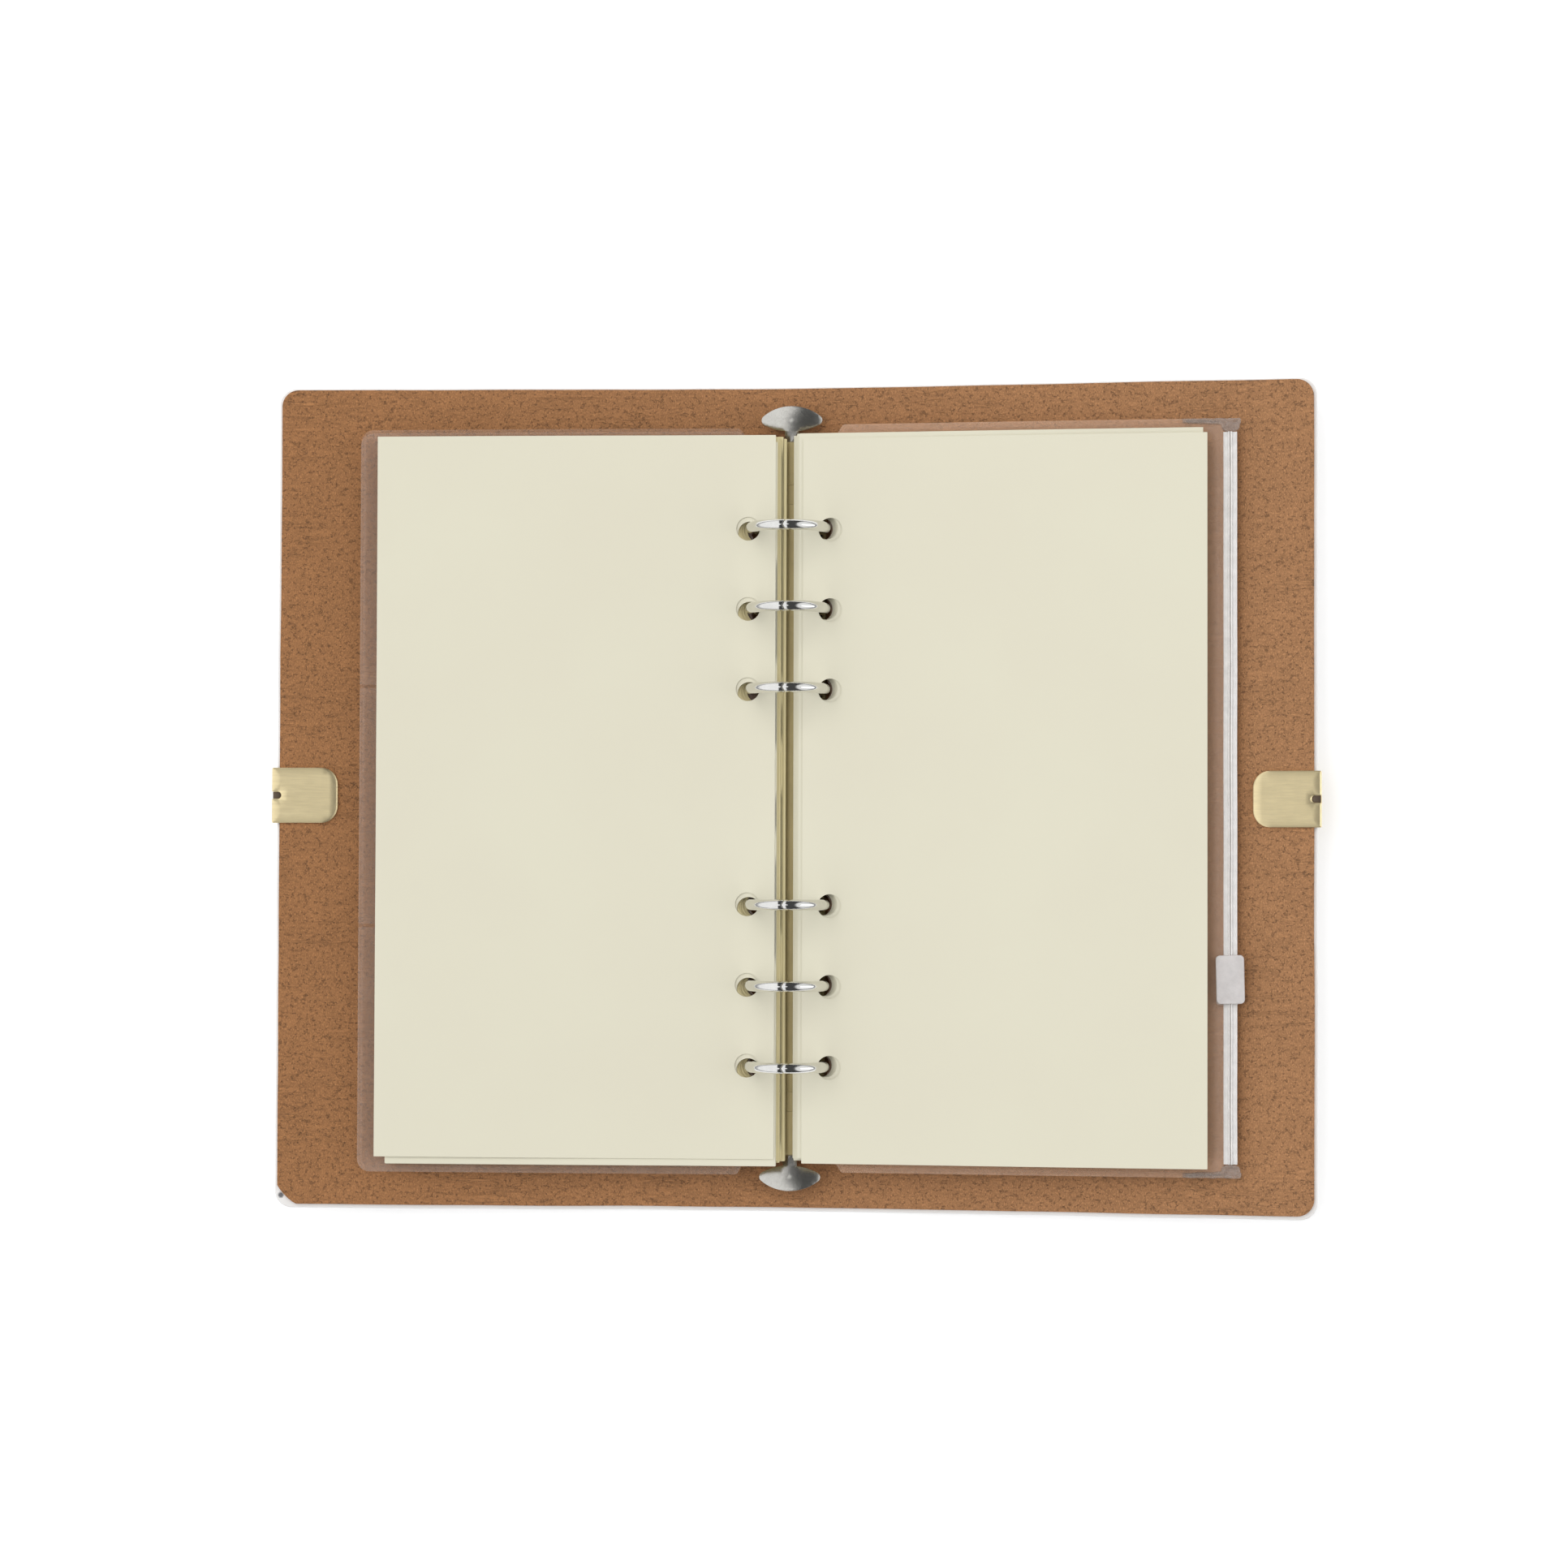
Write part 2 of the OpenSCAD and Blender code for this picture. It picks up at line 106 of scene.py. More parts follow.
class Sheet:
    """A tilted flat place beside the spine: u out from its pivot, v up the page, w off its face, in mm."""

    def __init__(self, joint, node):
        pivot = JOINTS[joint]["pos_m"]
        pts = verts_mm(node)
        mx = sum(p.x for p in pts) / len(pts)
        mz = sum(p.z for p in pts) / len(pts)
        self.side = -1 if mx < 0 else 1
        self.x0, self.z0 = abs(pivot[0]) / MM, pivot[2] / MM
        slope = sum((p.x - mx) * (p.z - mz) for p in pts) / sum((p.x - mx) ** 2 for p in pts)
        self.tilt = math.atan(slope * self.side)

    def at(self, u, v, w):
        c, s = math.cos(self.tilt), math.sin(self.tilt)
        return Vector((self.side * (self.x0 + u * c - w * s), v, self.z0 + u * s + w * c))

    def box(self, node):
        c, s = math.cos(self.tilt), math.sin(self.tilt)
        pts = []
        for p in verts_mm(node):
            x, z = self.side * p.x - self.x0, p.z - self.z0
            pts.append((x * c + z * s, p.y, z * c - x * s))
        return [min(q) for q in zip(*pts)], [max(q) for q in zip(*pts)]


left_cover = Sheet("front_cover_fold", "front_lining")
right_cover = Sheet("back_cover_fold", "back_lining")
left_stack = Sheet("left_leaves_turn", "left_leaves_3")
right_stack = Sheet("right_leaves_turn", "right_leaves_3")
RING_YS = sorted((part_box(f"right_ring_{i}")[0].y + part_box(f"right_ring_{i}")[1].y) / 2 / MM
                 for i in range(1, 7))


# ---- mesh building ----------------------------------------------------------

def outline(corners, step=4.0, arc=8):
    """Returns f(inset): the closed outline through corners (u, v, radius, squareness), counter-clockwise.
    Every inset gives the same number of points."""
    n = len(corners)
    counts = []
    for i in range(n):
        a, b = corners[i], corners[(i + 1) % n]
        counts.append(max(1, round(math.dist(a[:2], b[:2]) / step)))

    def at(inset):
        shifted, turns = [], []
        for i in range(n):
            p, c, q = (Vector(corners[(i + k) % n][:2]) for k in (-1, 0, 1))
            d1, d2 = (c - p).normalized(), (q - c).normalized()
            n1, n2 = Vector((-d1.y, d1.x)), Vector((-d2.y, d2.x))
            turn = d1.x * d2.y - d1.y * d2.x
            m = (n1 + n2) / (1 + n1.dot(n2))
            shifted.append(c + m * inset)
            turns.append(turn)
        ends = []
        for i in range(n):
            p, c, q = shifted[i - 1], shifted[i], shifted[(i + 1) % n]
            d1, d2 = (c - p).normalized(), (q - c).normalized()
            r = max(corners[i][2] + (-inset if turns[i] > 0 else inset), 0.02)
            power = corners[i][3] if len(corners[i]) > 3 else 2
            half = math.tan(d1.angle(d2) / 2) * r
            a, b = c - d1 * half, c + d2 * half
            pts = []
            for k in range(arc + 1):
                t = math.pi / 2 * k / arc
                f, g = 1 - math.sin(t) ** (2 / power), 1 - math.cos(t) ** (2 / power)
                pts.append(c + (a - c) * f + (b - c) * g)
            ends.append(pts)
        loop = []
        for i in range(n):
            loop += ends[i]
            a, b = ends[i][-1], ends[(i + 1) % n][0]
            loop += [a.lerp(b, k / counts[i]) for k in range(1, counts[i])]
        return loop

    return at


def circle(u, v, r, n=36):
    """Returns f(inset): a hole's loop; an inset widens it."""
    return lambda inset: [Vector((u + (r + inset) * math.cos(2 * math.pi * k / n),
                                  v + (r + inset) * math.sin(2 * math.pi * k / n))) for k in range(n)]


def inside(pts, loop):
    """Which of the points lie inside a closed loop, as an array of booleans."""
    pts, a = np.array(pts, float).reshape(-1, 2), np.array(loop, float)
    b = np.roll(a, -1, 0)
    odd = np.zeros(len(pts), bool)
    for (ax, ay), (bx, by) in zip(a, b):
        if ay != by:
            cross = (ay > pts[:, 1]) != (by > pts[:, 1])
            odd ^= cross & (pts[:, 0] < (bx - ax) * (pts[:, 1] - ay) / (by - ay) + ax)
    return odd


def clear_of(pts, rim, gap):
    """Which of the points are further than gap from every point of the rim."""
    pts, rim = np.array(pts, float).reshape(-1, 2), np.array(rim, float)
    free = np.ones(len(pts), bool)
    for q in rim:
        free &= ((pts - q) ** 2).sum(1) > gap * gap
    return free


def fill(outer, holes, step):
    """Triangles between an outline and its holes, with a grid of inner points: points, triangles, loops."""
    pts, edges, loops = [], [], []
    for loop in [outer] + holes:
        k = len(pts)
        pts += loop
        ids = list(range(k, k + len(loop)))
        edges += list(zip(ids, ids[1:] + ids[:1]))
        loops.append(ids)
    us, vs = [p.x for p in outer], [p.y for p in outer]
    nu = max(1, round((max(us) - min(us)) / step))
    nv = max(1, round((max(vs) - min(vs)) / step))
    rim = [p for loop in [outer] + holes for p in loop]
    grid = [(min(us) + (max(us) - min(us)) * i / nu, min(vs) + (max(vs) - min(vs)) * j / nv)
            for i in range(1, nu) for j in range(1, nv)]
    if grid:
        kept = inside(grid, outer) & clear_of(grid, rim, 0.35 * step)
        for h in holes:
            kept &= ~inside(grid, h)
        pts += [Vector(q) for q, k in zip(grid, kept) if k]
    out, _, faces, origin, _, _ = delaunay_2d_cdt(pts, edges, [], 0, 1e-6)
    new = {}
    for i, src in enumerate(origin):
        for s in src:
            new[s] = i
    middles = [sum((out[i] for i in f), Vector((0, 0))) / len(f) for f in faces]
    within = inside(middles, outer)
    for h in holes:
        within &= ~inside(middles, h)
    kept = []
    for f, k in zip(faces, within):
        if k:
            a, b, d = (out[i] for i in f[:3])
            turn = (b.x - a.x) * (d.y - a.y) - (b.y - a.y) * (d.x - a.x)
            kept.append(tuple(f) if turn > 0 else tuple(reversed(f)))
    return out, kept, [[new[i] for i in ids] for ids in loops]


def finish_mesh(name, verts, faces, uvs=None, slots=None, sharp=35):
    """An object made from vertices in mm, faces, a flat place for each vertex and a slot for each face."""
    mesh = bpy.data.meshes.new(name)
    mesh.from_pydata([tuple(v * MM) for v in verts], [], faces)
    if uvs:
        layer = mesh.uv_layers.new(name="flat")
        for loop in mesh.loops:
            u, v = uvs[loop.vertex_index][:2]
            layer.data[loop.index].uv = (u * MM, v * MM)
    if slots:
        mesh.polygons.foreach_set("material_index", slots)
    bm = bmesh.new()
    bm.from_mesh(mesh)
    bmesh.ops.recalc_face_normals(bm, faces=bm.faces)
    bm.to_mesh(mesh)
    bm.free()
    mesh.shade_smooth()
    mesh.set_sharp_from_angle(angle=math.radians(sharp))
    obj = bpy.data.objects.new(name, mesh)
    bpy.context.scene.collection.objects.link(obj)
    return obj


FILLS = {}


def slab(name, edge, holes, profile, place, step, hole_profile=None, rim=None, sharp=35, key=None):
    """A closed sheet. edge and holes are functions of inset, profile runs over the edge from the top face to
    the underside as (inset, w), and place(u, v, w) puts it in space. rim=(first, last) gives those bands
    slot 1. Sheets with the same key share one triangulation."""
    hole_profile = hole_profile or [(0, profile[0][1]), (0, profile[-1][1])]
    top_w, low_w = profile[0][1], profile[-1][1]
    verts, flats, faces, slots = [], [], [], []

    def add(p, w):
        verts.append(place(p.x, p.y, w))
        flats.append((p.x, p.y))
        return len(verts) - 1

    def face_sheet(inset, hole_inset, w, up):
        fit = (key or name, inset)
        if fit not in FILLS:
            FILLS[fit] = fill(edge(inset), [h(hole_inset) for h in holes], step)
        pts, tris, loops = FILLS[fit]
        ids = [add(p, w) for p in pts]
        for t in tris:
            f = [ids[i] for i in t]
            faces.append(f if up else f[::-1])
            slots.append(0)
        return [[ids[i] for i in loop] for loop in loops]

    tops = face_sheet(profile[0][0], hole_profile[0][0], top_w, True)
    lows = face_sheet(profile[-1][0], hole_profile[-1][0], low_w, False)
    for n, (top, low) in enumerate(zip(tops, lows)):
        shape, curve = (edge, profile) if n == 0 else (holes[n - 1], hole_profile)
        rings = [top] + [[add(p, w) for p in shape(inset)] for inset, w in curve[1:-1]] + [low]
        for k, (a, b) in enumerate(zip(rings, rings[1:])):
            for i in range(len(a)):
                j = (i + 1) % len(a)
                faces.append([a[i], b[i], b[j], a[j]] if n == 0 else [a[j], b[j], b[i], a[i]])
                slots.append(1 if rim and n == 0 and rim[0] <= k < rim[1] else 0)
    return finish_mesh(name, verts, faces, flats, slots, sharp)


def soft_edge(top, low, r, n=3):
    """A profile from top to low with edges of radius r."""
    up = [(r * (1 - math.sin(math.pi / 2 * k / n)), top - r * (1 - math.cos(math.pi / 2 * k / n)))
          for k in range(n + 1)]
    return up + [(i, low + (top - w)) for i, w in reversed(up)]


def bevelled(name, node, width, segments=3, angle=38, rim=False, reshape=None):
    """A copy of a CAD node's shape with its edges rounded; the rounded bands can take slot 1."""
    bm = bmesh.new()
    bm.from_mesh(frame["nodes"][node].data)
    bmesh.ops.remove_doubles(bm, verts=bm.verts, dist=2e-6)
    bmesh.ops.dissolve_limit(bm, angle_limit=math.radians(1.2), verts=bm.verts, edges=bm.edges)
    for f in bm.faces:
        f.material_index = 0
    mesh = bpy.data.meshes.new(name)
    bm.to_mesh(mesh)
    bm.free()
    obj = bpy.data.objects.new(name, mesh)
    bpy.context.scene.collection.objects.link(obj)
    mesh.materials.clear()
    for _ in range(2 if rim else 1):
        mesh.materials.append(None)
    mod = obj.modifiers.new("edges", "BEVEL")
    mod.width, mod.segments, mod.limit_method = width * MM, segments, "ANGLE"
    mod.angle_limit, mod.use_clamp_overlap = math.radians(angle), True
    mod.material = 1 if rim else -1
    done = bpy.data.meshes.new_from_object(obj.evaluated_get(bpy.context.evaluated_depsgraph_get()))
    obj.modifiers.clear()
    obj.data = done
    if reshape:
        for v in done.vertices:
            v.co = reshape(v.co / MM) * MM
    done.shade_smooth()
    done.set_sharp_from_angle(angle=math.radians(50))
    return obj


# ---- materials --------------------------------------------------------------

class Look:
    """A Principled material with texture nodes; places are in mm, from the flat layer or from the object."""

    def __init__(self, name, flat, **sockets):
        self.material = bpy.data.materials.new(name)
        self.material.use_nodes = True
        self.tree = self.material.node_tree
        self.shader = next(n for n in self.tree.nodes if n.type == "BSDF_PRINCIPLED")
        if flat:
            source = self.tree.nodes.new("ShaderNodeUVMap")
            source.uv_map = "flat"
            place = source.outputs["UV"]
        else:
            place = self.tree.nodes.new("ShaderNodeTexCoord").outputs["Object"]
        self.place = self.stretch(place, (1 / MM,) * 3)
        for socket, value in sockets.items():
            self.set(socket.replace("_", " "), value)
        self.height = None

    def set(self, socket, value):
        if isinstance(value, bpy.types.NodeSocket):
            self.tree.links.new(value, self.shader.inputs[socket])
        elif isinstance(value, tuple) and len(value) == 3 and socket != "Subsurface Radius":
            self.shader.inputs[socket].default_value = (*value, 1)
        else:
            self.shader.inputs[socket].default_value = value

    def node(self, kind, inputs, **props):
        n = self.tree.nodes.new(kind)
        for key, value in props.items():
            setattr(n, key, value)
        for key, value in inputs.items():
            if isinstance(value, bpy.types.NodeSocket):
                self.tree.links.new(value, n.inputs[key])
            else:
                n.inputs[key].default_value = value
        return n

    def stretch(self, place, scale, turn=(0, 0, 0)):
        return self.node("ShaderNodeMapping", {"Vector": place, "Scale": scale, "Rotation": turn}).outputs[0]

    def noise(self, scale, detail=4.0, rough=0.55, stretch=None, warp=0.0):
        place = self.stretch(self.place, stretch) if stretch else self.place
        return self.node("ShaderNodeTexNoise", {"Vector": place, "Scale": scale, "Detail": detail,
                                                "Roughness": rough, "Distortion": warp}).outputs["Fac"]

    def cells(self, scale, feature="F1", stretch=None, output="Distance"):
        place = self.stretch(self.place, stretch) if stretch else self.place
        cells = self.node("ShaderNodeTexVoronoi", {"Vector": place, "Scale": scale}, feature=feature)
        return cells.outputs[output]

    def band(self, value, low, high, to_low=0.0, to_high=1.0):
        """value mapped from low..high to to_low..to_high, clamped."""
        return self.node("ShaderNodeMapRange", {"Value": value, "From Min": low, "From Max": high,
                                                "To Min": to_low, "To Max": to_high}).outputs[0]

    def math(self, operation, a, b):
        n = self.tree.nodes.new("ShaderNodeMath")
        n.operation = operation
        for i, value in enumerate((a, b)):
            if isinstance(value, bpy.types.NodeSocket):
                self.tree.links.new(value, n.inputs[i])
            else:
                n.inputs[i].default_value = value
        return n.outputs[0]

    def mix(self, fac, a, b, blend="MIX"):
        n = self.tree.nodes.new("ShaderNodeMix")
        n.data_type, n.blend_type = "RGBA", blend
        for i, value in ((0, fac), (6, a), (7, b)):
            if isinstance(value, bpy.types.NodeSocket):
                self.tree.links.new(value, n.inputs[i])
            else:
                n.inputs[i].default_value = (*value, 1) if isinstance(value, tuple) else value
        return n.outputs[2]

    def bump(self, value, distance, strength=1.0):
        """Adds relief of that depth, in mm."""
        inputs = {"Height": value, "Strength": strength, "Distance": distance * MM}
        if self.height:
            inputs["Normal"] = self.height
        self.height = self.node("ShaderNodeBump", inputs).outputs[0]
        self.set("Normal", self.height)


def tan_leather(name, tone):
    """Split-leather lining: fine grain, short curved creases, pits and soft wrinkles along the page."""
    def shade(k):
        return tuple(k * c for c in tone)

    look = Look(name, True)
    cloud = look.noise(0.05, 5, 0.6)
    mottle = look.noise(0.30, 6, 0.7)
    grain = look.noise(1.3, 6, 0.75)
    fleck = look.noise(2.6, 3, 0.6, stretch=(1.5, 0.7, 1))
    marks = None
    for scale, width, low in ((0.72, 0.032, 0.55), (1.25, 0.048, 0.55)):
        line = look.noise(scale, 4, 0.6, stretch=(0.8, 1.25, 1), warp=0.6)
        line = look.band(look.math("ABSOLUTE", look.math("SUBTRACT", line, 0.5), 0.0), 0.0, width, 1, 0)
        here = look.math("MULTIPLY", line, look.band(look.noise(0.9 * scale, 3, 0.55), low, low + 0.06))
        marks = look.math("MAXIMUM", marks, here) if marks else here
    pit = look.band(look.cells(0.55, stretch=(0.8, 1.4, 1)), 0.06, 0.20, 1, 0)
    pits = look.math("MULTIPLY", pit, look.band(look.noise(0.30, 3, 0.6), 0.50, 0.56))
    wrinkle = look.noise(0.20, 5, 0.6, stretch=(0.35, 2.2, 1), warp=0.9)
    ridge = look.math("MULTIPLY", look.band(wrinkle, 0.52, 0.64), look.band(look.noise(0.035, 3), 0.46, 0.60))
    color = look.mix(look.band(cloud, 0.35, 0.65), shade(0.92), shade(1.06))
    color = look.mix(look.band(mottle, 0.36, 0.64), shade(0.80), color)
    color = look.mix(look.band(grain, 0.34, 0.66), look.mix(0.5, color, shade(0.58)), color)
    color = look.mix(look.band(fleck, 0.50, 0.68, 0.0, 0.75), color, shade(1.45))
    color = look.mix(look.math("MULTIPLY", ridge, 0.48), color, shade(1.42))
    color = look.mix(look.math("MULTIPLY", marks, 0.68), color, shade(0.40))
    color = look.mix(look.math("MULTIPLY", pits, 0.70), color, shade(0.38))
    # Painted light: the lining's colour brightens and cools from the left cover to the right, standing in for
    # how light falls on the two tilted covers.
    across = look.node("ShaderNodeSeparateXYZ", {"Vector": look.place}).outputs["X"]
    painted_side_light = look.mix(look.band(across, -110, 110), (0.98, 0.98, 0.98), (1.09, 1.17, 1.32))
    look.set("Base Color", look.mix(1.0, color, painted_side_light, "MULTIPLY"))
    look.set("Roughness", look.band(grain, 0.3, 0.7, 0.62, 0.80))
    look.set("Specular IOR Level", 0.28)
    look.set("Sheen Weight", 0.08)
    look.bump(ridge, 0.35, 0.8)
    look.bump(mottle, 0.25, 0.7)
    look.bump(grain, 0.12, 0.7)
    look.bump(look.math("SUBTRACT", 1.0, look.math("MAXIMUM", pits, marks)), 0.14, 0.8)
    return look.material


def white_skin():
    """Outer skin: white coated leather with a fine closed grain."""
    look = Look("white_skin", True)
    grain = look.cells(1.35, "SMOOTH_F1")
    fine = look.noise(4.5, 4, 0.6)
    cloud = look.noise(0.04, 4, 0.5)
    color = look.mix(look.band(cloud, 0.35, 0.65), (0.845, 0.825, 0.80), (0.87, 0.85, 0.83))
    color = look.mix(look.band(grain, 0.0, 0.12, 0.35, 0.0), color, (0.68, 0.66, 0.62))
    mark = Vector(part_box("front_skin")[0]) / MM + Vector((1.35, 3.0, 0))
    away = look.node("ShaderNodeVectorMath", {0: look.place, 1: (mark.x, mark.y, 0)}, operation="DISTANCE")
    away = look.math("ADD", away.outputs["Value"], look.math("MULTIPLY", fine, 0.7))
    color = look.mix(look.band(away, 0.8, 1.2, 0.9, 0.0), color, (0.07, 0.07, 0.08))
    look.set("Base Color", color)
    look.set("Roughness", look.band(fine, 0.3, 0.7, 0.42, 0.56))
    look.bump(grain, 0.05, 0.5)
    look.bump(fine, 0.02, 0.3)
    return look.material


def paper(name, tone):
    look = Look(name, True)
    fibre = look.noise(1.6, 6, 0.7, stretch=(0.6, 1.3, 1))
    tooth = look.noise(5.5, 4, 0.6)
    cloud = look.noise(0.025, 4, 0.5)
    color = look.mix(look.band(cloud, 0.35, 0.65), tone[0], tone[1])
    color = look.mix(look.band(fibre, 0.55, 0.8, 0, 0.12), color, tuple(0.90 * c for c in tone[0]))
    look.set("Base Color", color)
    look.set("Roughness", look.band(tooth, 0.3, 0.7, 0.78, 0.92))
    look.set("Specular IOR Level", 0.22)
    look.bump(tooth, 0.012, 0.5)
    look.bump(look.noise(0.12, 3), 0.10, 0.25)
    return look.material


def clear_film(name, haze, alpha, rough=0.16, gloss=0.9):
    """Soft clear vinyl: a faint haze, slow ripples and a gloss."""
    look = Look(name, True)
    ripple = look.noise(0.06, 3, 0.5, stretch=(1.6, 0.35, 1))
    dust = look.noise(0.9, 5, 0.7)
    look.set("Base Color", look.mix(look.band(dust, 0.4, 0.7), haze, tuple(1.12 * c for c in haze)))
    look.set("Alpha", look.band(dust, 0.3, 0.75, alpha * 0.9, alpha * 1.2))
    look.set("Roughness", look.band(dust, 0.35, 0.7, rough, rough + 0.12))
    look.set("IOR", 1.53)
    look.set("Specular IOR Level", gloss)
    look.bump(ripple, 0.5, 0.4)
    return look.material


def milky(name, color, alpha, rough, flat):
    """Translucent moulded plastic."""
    look = Look(name, flat)
    cloud = look.noise(0.5, 4, 0.6)
    fine = look.noise(3.5, 3, 0.5)
    look.set("Base Color", look.mix(look.band(cloud, 0.3, 0.7), tuple(0.95 * c for c in color), color))
    look.set("Alpha", look.band(cloud, 0.3, 0.7, alpha - 0.05, min(alpha + 0.05, 1.0)))
    look.set("Roughness", look.band(fine, 0.3, 0.7, rough, rough + 0.10))
    look.set("Specular IOR Level", 0.65)
    look.set("Subsurface Weight", 0.25)
    look.set("Subsurface Radius", (0.0012, 0.0011, 0.0010))
    look.set("Subsurface Scale", 1.0)
    look.bump(fine, 0.02, 0.35)
    return look.material


def metal(name, color, rough, scratch=0.1, along=(0.05, 1.6, 1.6), spots=0.0, contrast=0.12, metallic=1.0):
    """Plated or brushed metal: fine scratches that run one way, faint spots and worn tone."""
    look = Look(name, False)
    lines = look.noise(2.4, 5, 0.65, stretch=along)
    cloud = look.noise(0.22, 4, 0.6)
    speck = look.noise(3.2, 5, 0.7)
    shade = look.mix(look.band(cloud, 0.3, 0.7), tuple((1 - contrast) * c for c in color), color)
    shade = look.mix(look.band(lines, 0.35, 0.65, 0, scratch), shade, tuple(0.62 * c for c in color))
    if spots:
        shade = look.mix(look.band(speck, 0.56, 0.68, 0, spots), shade, tuple(0.5 * c for c in color))
    look.set("Base Color", shade)
    look.set("Metallic", metallic)
    look.set("Roughness", look.band(lines, 0.3, 0.7, rough, rough + 0.5 * scratch + 0.02))
    look.bump(lines, 0.012, 0.5 * min(1.0, 4 * scratch))
    if spots:
        look.bump(speck, 0.02, 0.3)
    return look.material


TAN = (0.389, 0.180, 0.0715)
lining = tan_leather("tan_lining", TAN)
skin = white_skin()
leaf_paper = paper("leaf_paper", ((0.735, 0.700, 0.560), (0.745, 0.715, 0.570)))
# Painted shade: a darker, yellower copy of the leaf paper for the lower left sheets, whose edges lie in the
# gutter's shade.
painted_shade_paper = paper("painted_shade_paper", ((0.71, 0.62, 0.36), (0.73, 0.65, 0.39)))
film = clear_film("vinyl_film", (0.60, 0.45, 0.37), 0.105)
# Painted shade: a darker, denser haze on the zip's web, so the gaps between its ribs read dark.
painted_shade_web_film = clear_film("zip_web_painted_shade", (0.34, 0.25, 0.20), 0.16, 0.30, 0.3)
# Painted light: a brighter haze than the card film, lifting the pouch's strip out of the shade of the page
# and the zip.
pouch_vinyl_painted_light = clear_film("pouch_vinyl_painted_light", (0.80, 0.53, 0.37), 0.135)
# Weld bands: denser vinyl, and lighter than the film as a painted highlight on the beads.
weld_film_painted_highlight = clear_film("vinyl_weld_painted_highlight", (0.62, 0.50, 0.43), 0.20, 0.10)
zip_plastic = milky("zip_vinyl", (0.98, 0.95, 0.92), 0.93, 0.10, True)
zip_weld = milky("zip_weld", (0.44, 0.37, 0.33), 0.40, 0.07, True)
slider_plastic = milky("slider_plastic", (0.69, 0.655, 0.64), 0.93, 0.34, False)
# Painted highlight: a near-white plastic for the slider's rounded rims and its lip.
slider_painted_highlight = milky("slider_painted_highlight", (0.95, 0.94, 0.93), 0.93, 0.22, False)
brass = metal("brushed_brass", (1.0, 0.84, 0.50), 0.34, 0.20, (0.04, 1.1, 1.1), contrast=0.07)
# Painted shade: very dark brass for the web deep in a clasp's notch.
painted_shade_brass = metal("painted_shade_brass", (0.20, 0.15, 0.11), 0.40, 0.10)
# A clasp's chamfered rim: polished brass, paler than the plate as a painted highlight.
polished_rim_painted_highlight = metal("polished_brass_painted_highlight", (0.99, 0.93, 0.76), 0.22, 0.05)
chrome = metal("ring_chrome", (0.80, 0.79, 0.76), 0.07, 0.05, spots=0.10)
satin_nickel = metal("satin_nickel", (0.64, 0.62, 0.57), 0.20, 0.08, (0.5, 0.5, 0.5), spots=0.45)
nickel = metal("housing_nickel", (0.60, 0.49, 0.24), 0.50, 0.16, (1.6, 0.05, 1.6), metallic=0.45)
blade_steel = metal("blade_steel", (0.42, 0.39, 0.32), 0.34, 0.30, (1.6, 0.05, 1.6))
pin_steel = metal("pin_steel", (0.50, 0.49, 0.47), 0.24, 0.15)
magnet_steel = metal("magnet_steel", (0.36, 0.36, 0.37), 0.30, 0.15, spots=0.2)


def dress(obj, *materials):
    obj.data.materials.clear()
    for m in materials:
        obj.data.materials.append(m)
    return obj


def piece(obj, body, slot, nodes, *materials):
    """Gives a piece its materials, the body it rides on and the CAD nodes that it stands for; its slot is not
    used.
    """
    dress(obj, *materials)
    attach(obj, body)
    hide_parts(*nodes)
    return obj


# ---- cover ------------------------------------------------------------------

def cover_place(place, shift, fore):
    """Places a cover sheet: flat on the spine, bent at the crease, then tilted, with a slight bow."""
    def at(u, v, w):
        x = place.side * (u + place.x0)
        v = v + shift
        u += 0.14 * wave(x, v, 0.045, 3.0) * smooth(u / 30)
        v += 0.16 * wave(x, v, 0.04, 9.0)
        clasp = math.exp(-((u - fore) ** 2 + v * v) / 18 ** 2)
        bow = (0.28 * wave(u, v, 0.017, 5.0 * place.side) + 0.07 * wave(u, v, 0.06, 2.0)) * (1 - clasp)
        w += bow * smooth(u / 25)
        a = place.tilt * smooth(u / BEND)
        c, s = math.cos(a), math.sin(a)
        return Vector((place.side * (place.x0 + u * c - w * s), v, place.z0 + u * s + w * c))
    return at


def seamed(shape, middle):
    """The same outline with its inner edge held at the middle of the spine, where two halves meet."""
    return lambda inset: [Vector((middle, p.y)) if p.x < middle + inset + 0.05 else p for p in shape(inset)]


def cover_sheet(name, place, node, spine_node, material, clipped=None):
    """One half of a cover sheet, from the middle of the spine to the fore-edge."""
    lo, hi = place.box(node)
    top, low = hi[2], lo[2]
    corner = frame_corner(node, place)
    v0, v1, u1 = lo[1], hi[1], hi[0]
    lower = (u1, v0, *clipped) if clipped else (u1, v0, corner)
    corners = [(-place.x0, v0, 0.02), lower, (u1, v1, corner), (-place.x0, v1, 0.02)]
    soft = 0.38 if "skin" in node else 0.16
    shift = RIM_SHIFT if "lining" in node else 0.0
    obj = slab(name, seamed(outline(corners, 3.0), -place.x0), [], soft_edge(top, low, soft),
               cover_place(place, shift, u1), 3.4)
    flat = obj.data.uv_layers["flat"]
    for loop in flat.data:
        loop.uv.x = place.side * (loop.uv.x + place.x0 * MM)
    dress(obj, material)
    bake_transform(obj)
    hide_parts(node, spine_node)
    return obj


def frame_corner(node, place):
    """The corner radius of a cover sheet: how far in its fore-edge starts to turn."""
    _, hi = place.box(node)
    c, s = math.cos(place.tilt), math.sin(place.tilt)
    straight = [abs(p.y) for p in verts_mm(node)
                if (place.side * p.x - place.x0) * c + (p.z - place.z0) * s > hi[0] - 0.01]
    return hi[1] - max(straight)


